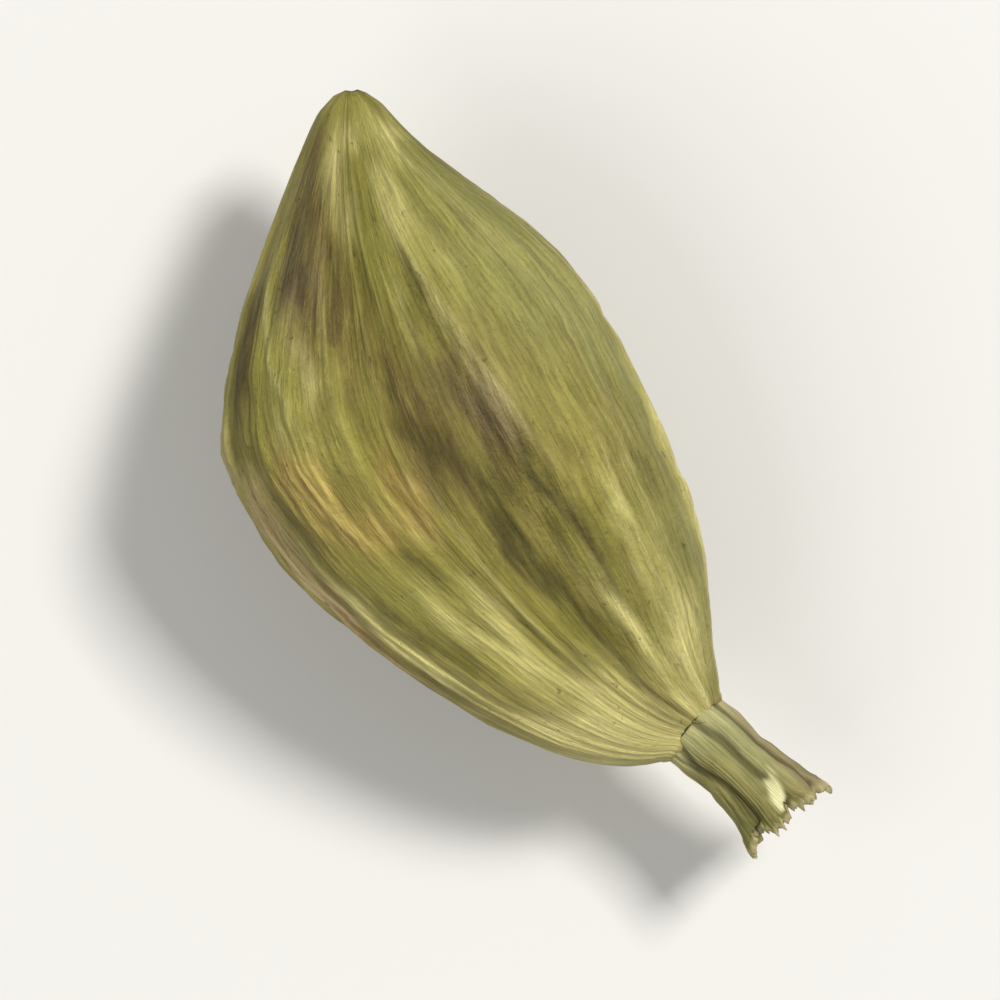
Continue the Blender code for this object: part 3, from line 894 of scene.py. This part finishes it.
def makeStalk():
    places, widths = stalkRings()
    piece, column, ring, middle = startTube("stalkStub", stalk["columns"], len(places))
    share = places[ring] / stalk["length"]
    along = share * 2 - 1
    around = column / stalk["columns"]
    angle = fullTurn * around
    reach = np.where(middle, 0, widths[ring])
    outer = np.array([stalkRadius(s) for s in share])
    insideCup = reach < outer * stalk["inCup"]

    # strands with finer threads, and a few knots
    swayed = angle + unevenness(stalk["strandSway"], around, along)
    strand = (1 + np.cos(stalk["strands"] * swayed)) / 2
    atRoot = stalk["strandAtRoot"]
    fluting = stalk["strandDepth"] * (atRoot + (1 - atRoot) * ease(share, 0, 1))
    fluting = fluting * (2 * strand ** stalk["strandRoundness"] - 1)
    lineAround = around + unevenness(stalk["threadWander"], around, along)
    threads = np.abs(unevenness(stalk["threads"], lineAround, share * 0))
    threads = threads ** stalk["threadRoundness"] - 0.5
    threads = threads * (stalk["threadLevel"] + unevenness(stalk["threadFading"], around, along))
    threading = stalk["threadDepth"] * threads * ease(share, *stalk["threadsFrom"])
    reach = reach * (1 + fluting + threading + unevenness(stalk["knots"], around, along))
    reach = reach * (1 - stalk["rootTuck"] * ease(share, stalk["tuckShare"], 0.0))

    # the rim's torn edge, then the bend
    wave = sum(much * np.sin(number * angle + phase) for much, number, phase in stalk["rimWaves"])
    torn = sum(unevenness(kind, around, share * 0) for kind in stalk["rimTears"])
    forward = stalk["rimWave"] * wave + stalk["rimFray"] * (torn - stalk["frayBack"])
    forward = forward - stalk["rimNotch"] * (1 - strand) ** 2
    forward = forward * ease(share, stalk["rimShare"], 1.0)
    across, up = reach * np.cos(angle), stalkFlatness(share) * reach * np.sin(angle)
    movePoints(piece, *ontoStalk(share, forward, across, up))
    bpy.ops.object.shade_smooth()

    upper, faded, fleck = stalk["upper"], stalk["faded"], stalk["fleck"]
    isUpper = bell(apart(angle, upper["angle"]) / upper["reach"])
    isFaded = bell(apart(angle, faded["angle"]) / faded["reach"]) * ease(share, *faded["shares"])
    # where the painted highlight lies, with ragged edges
    awayAlong = share - fleck["share"]
    awayRound = apart(angle, fleck["angle"] + fleck["turn"] * awayAlong)
    fromFleck = np.hypot(awayAlong / fleck["reachAlong"], awayRound / fleck["reachRound"])
    fromFleck = fromFleck + unevenness(stalk["highlightRaggedness"], around, along)
    # painted shade in the hollow, darker towards its bottom
    depthIn = np.clip((1 - share) / stalk["hollowShare"], 0, 1)
    addNumbers(piece, {
        "strand": strand,
        "share": share,
        "upper": isUpper,
        "faded": np.where(insideCup, 0, isFaded),
        "thread": np.clip(0.5 + threads, 0, 1),
        "fleck": np.where(insideCup, 0, 1 - ease(fromFleck, *fleck["edge"])),
        "hollow": np.where(insideCup, depthIn, 0),
    })
    addVectors(piece, "grain", np.cos(angle), np.sin(angle), share)
    print("stalk", len(piece.data.polygons), "faces")
    return piece


# How the stalk looks, in the same kinds of rows; a mark is how much it covers, and its colour

stalk["look"] = {
    "base": (120, 118, 62),
    "patchPattern": (1.8, 1.8, 2.2, 4, 0.6, 0.5),
    "patches": (0.38, 0.62, 0, 1, (150, 142, 84)),
    "marks": {"upper": (0.8, (166, 150, 112)), "faded": (0.7, (188, 186, 128))},
    "root": (0.32, 0, 0, 0.8, (194, 190, 132)),
    # threads and valleys: painted shade in the grooves between threads and between strands
    "threads": (0.35, 0, 0, 0.5, (92, 82, 40)),
    "paintedValleyShade": (0, 0.35, 0.7, 0, (72, 66, 30)),
    "rim": (0.93, 1, 0, 0.7, (192, 180, 128)),
    "fibrePattern": (13, 13, 1.6, 6, 0.72, 0),
    # fleck: a painted highlight, laid as a pale split strand
    "fleck": (0.35, 0.6, 0.5, 0.98, (244, 240, 184)),
    "fibreTone": (0.3, 0.7, 0.68, 1.22),
    # painted shade in the hollow
    "hollow": (0.05, 0.8, 0, 0.92, (50, 40, 26)),
    "roughness": 0.7,
    "gloss": 0.3,
    "porePattern": (5000, 7000, 7000, 2, 0.6, 0),
    "poreHeight": 0.3,
    "bump": (1, 0.08 * mm),
}


def stalkMaterial():
    look = stalk["look"]
    material, tree, shader = newMaterial("strawStalk")
    solid = add(tree, "TexCoord").outputs["Object"]
    grain = attribute(tree, "grain", "Vector")
    share = attribute(tree, "share")
    fibre = noise(tree, grain, look["fibrePattern"])
    patches = noise(tree, grain, look["patchPattern"])
    colour = coat(tree, paint(*look["base"]), patches, look["patches"])
    for name, (cover, over) in look["marks"].items():
        amount = calc(tree, "MULTIPLY", attribute(tree, name), cover)
        colour = mix(tree, amount, colour, paint(*over))
    colour = coat(tree, colour, share, look["root"])
    # painted shade in the grooves between threads and between strands
    colour = coat(tree, colour, attribute(tree, "thread"), look["threads"])
    colour = coat(tree, colour, attribute(tree, "strand"), look["paintedValleyShade"])
    colour = coat(tree, colour, share, look["rim"])
    # a painted highlight, laid as a pale split strand
    colour = coat(tree, colour, fibre, look["fleck"], attribute(tree, "fleck"))
    colour = shade(tree, colour, spread(tree, fibre, *look["fibreTone"]))
    # painted shade, darker deeper into the hollow
    colour = coat(tree, colour, attribute(tree, "hollow"), look["hollow"])
    pores = calc(tree, "MULTIPLY", noise(tree, solid, look["porePattern"]), look["poreHeight"])
    shader.inputs["Roughness"].default_value = look["roughness"]
    surface(tree, shader, colour, calc(tree, "ADD", fibre, pores), look)
    return material


stalkPiece = makeStalk()
dress(stalkPiece, stalkMaterial(), "stalk")


# Fibres: torn threads in the stalk's hollow end, and bits of bract that cling to its root

fibres = {
    "sides": 6,
    "segments": 10,
    "thinEnd": 0.25,
    "twist": 0.20,
    "curl": 0.08,
    "curlWaves": 5,
    "seed": 17,
    # how many, how far they follow the stalk's own width, then from and to in mm: start along the
    # stalk, length, thickness, start radius, lift
    "mouth": (28, 0, ((2.3, 2.6), (0.25, 0.5), (0.02, 0.038), (0.45, 0.9), (-0.1, 0.06))),
    "root": (12, 0.8, ((-0.1, 0.02), (0.3, 0.9), (0.012, 0.028), (0.8, 0.86), (0, 0.06))),
    "look": {
        "light": (206, 198, 150),
        "dark": (150, 132, 84),
        "start": (0, 0.9, 0.85, 0.1, (100, 84, 50)),
        "fleckPattern": (3000, 9000, 9000, 3, 0.6, 0),
        "fleckTone": (0.3, 0.7, 0.75, 1.15),
        "roughness": 0.65,
        "gloss": 0.3,
        "bump": (0.6, 0.03 * mm),
    },
}


def oneFibre():
    deselectAll()
    bpy.ops.mesh.primitive_cone_add(
        vertices=fibres["sides"], radius1=1, radius2=fibres["thinEnd"], depth=1,
        end_fill_type="TRIFAN", location=(0.5, 0, 0), rotation=(0, math.pi / 2, 0),
    )
    fibre = bpy.context.object
    bpy.ops.object.transform_apply(location=True, rotation=True, scale=True)
    cutAcross(fibre, fibres["segments"] - 1)
    return fibre


def layFibre(fibre, draw, follow, limits):
    x, y, z = pointsOf(fibre).T
    start, length, width, radius, lift = (draw.uniform(*ends) * mm for ends in limits)
    angle = draw.uniform(0, fullTurn)
    twist = draw.uniform(-fibres["twist"], fibres["twist"])
    share = (start + length * x) / stalk["length"]
    wider = np.array([stalkRadius(s) for s in share]) - stalk["rootRadius"]
    reach = radius + lift * x**2 + width * z + follow * wider
    curl = fibres["curl"] * np.sin(fibres["curlWaves"] * x + angle)
    turned = angle + twist * x + width * y / radius + curl
    across, up = reach * np.cos(turned), stalkFlatness(share) * reach * np.sin(turned)
    movePoints(fibre, *ontoStalk(share, 0, across, up))
    addNumbers(fibre, {"tone": np.full(len(x), draw.uniform(0, 1)), "towardsEnd": x})


def makeFibres():
    pattern = oneFibre()
    draw = random.Random(fibres["seed"])
    made = []
    for number, follow, limits in (fibres["mouth"], fibres["root"]):
        for _ in range(number):
            copy = pattern.copy()
            copy.data = pattern.data.copy()
            bpy.context.scene.collection.objects.link(copy)
            layFibre(copy, draw, follow, limits)
            made.append(copy)
    bpy.data.objects.remove(pattern, do_unlink=True)
    deselectAll()
    for copy in made:
        copy.select_set(True)
    bpy.context.view_layer.objects.active = made[0]
    bpy.ops.object.join()
    piece = bpy.context.object
    piece.name = piece.data.name = "stalkFibres"
    bpy.ops.object.mode_set(mode="EDIT")
    bpy.ops.mesh.select_all(action="SELECT")
    bpy.ops.mesh.normals_make_consistent(inside=False)
    bpy.ops.object.mode_set(mode="OBJECT")
    bpy.ops.object.shade_smooth()
    print("fibres", len(made))
    return piece


def fibreMaterial():
    look = fibres["look"]
    material, tree, shader = newMaterial("tornFibre")
    solid = add(tree, "TexCoord").outputs["Object"]
    colour = mix(tree, attribute(tree, "tone"), paint(*look["light"]), paint(*look["dark"]))
    colour = coat(tree, colour, attribute(tree, "towardsEnd"), look["start"])
    fleck = noise(tree, solid, look["fleckPattern"])
    colour = shade(tree, colour, spread(tree, fleck, *look["fleckTone"]))
    shader.inputs["Roughness"].default_value = look["roughness"]
    surface(tree, shader, colour, fleck, look)
    return material


fibrePiece = makeFibres()
dress(fibrePiece, fibreMaterial(), None)


# Floor, light and camera

room = {
    "floorSize": 4.0,
    "floorColour": (226, 225, 222),
    "floorRoughness": 0.85,
    "ambient": 0.32,
    # towards which side a light stands (right and up in the picture, height), size, power, colour
    "lights": {
        "key": ((0.66, 0.50, 1.15), 0.10, 1.72, (1.0, 0.98, 0.95)),
        "fill": ((-0.90, -0.50, 1.0), 0.40, 0.80, (1.0, 0.99, 0.96)),
    },
    "lightDistance": 0.45,
    "frameWidth": 22.5 * mm,
    "shift": (0.6 * mm, 0.3 * mm),
    "lens": 300,
    "sensor": 36,
    "clip": (0.01, 5),
    "roll": math.radians(63.92),
}


def inPhoto(right, up):  # a direction in the photograph, as a direction on the floor
    cosine, sine = math.cos(room["roll"]), math.sin(room["roll"])
    return right * cosine - up * sine, right * sine + up * cosine


def makeFloor():
    deselectAll()
    bpy.ops.mesh.primitive_plane_add(size=room["floorSize"], location=(0, 0, 0))
    floor = bpy.context.object
    floor.name = "floor"
    material, _, shader = newMaterial("paleFloor")
    shader.inputs["Base Color"].default_value = paint(*room["floorColour"])
    shader.inputs["Roughness"].default_value = room["floorRoughness"]
    floor.data.materials.append(material)


def makeLight(name, side, size, power, colour):
    right, up, height = side
    lightX, lightY = inPhoto(right, up)
    data = bpy.data.lights.new(name, "AREA")
    data.size = size
    data.energy = power
    data.color = colour
    lamp = bpy.data.objects.new(name, data)
    bpy.context.scene.collection.objects.link(lamp)
    length = math.sqrt(lightX**2 + lightY**2 + height**2)
    scale = room["lightDistance"] / length
    lamp.location = (lightX * scale, lightY * scale, height * scale)
    lamp.rotation_euler = (-lamp.location).to_track_quat("-Z", "Y").to_euler()
    lamp.visible_camera = False


def makeWorld():
    world = bpy.data.worlds.new("softStudio")
    world.use_nodes = True
    background = world.node_tree.nodes["Background"]
    background.inputs["Color"].default_value = (1.0, 1.0, 1.0, 1)
    background.inputs["Strength"].default_value = room["ambient"]
    bpy.context.scene.world = world


def makeCamera():
    data = bpy.data.cameras.new("camera")
    data.lens = room["lens"]
    data.sensor_width = room["sensor"]
    data.clip_start, data.clip_end = room["clip"]
    camera = bpy.data.objects.new("camera", data)
    bpy.context.scene.collection.objects.link(camera)
    low, high = cadBox
    middle = (low + high) / 2
    sideX, sideY = inPhoto(*room["shift"])
    distance = room["frameWidth"] * room["lens"] / room["sensor"]
    camera.location = (middle.x + sideX, middle.y + sideY, middle.z + distance)
    camera.rotation_euler = (0, 0, room["roll"])
    bpy.context.scene.camera = camera


makeFloor()
for name, settings in room["lights"].items():
    makeLight(name, *settings)
makeWorld()
makeCamera()
bpy.context.scene.view_settings.view_transform = "Standard"
print("room ready")
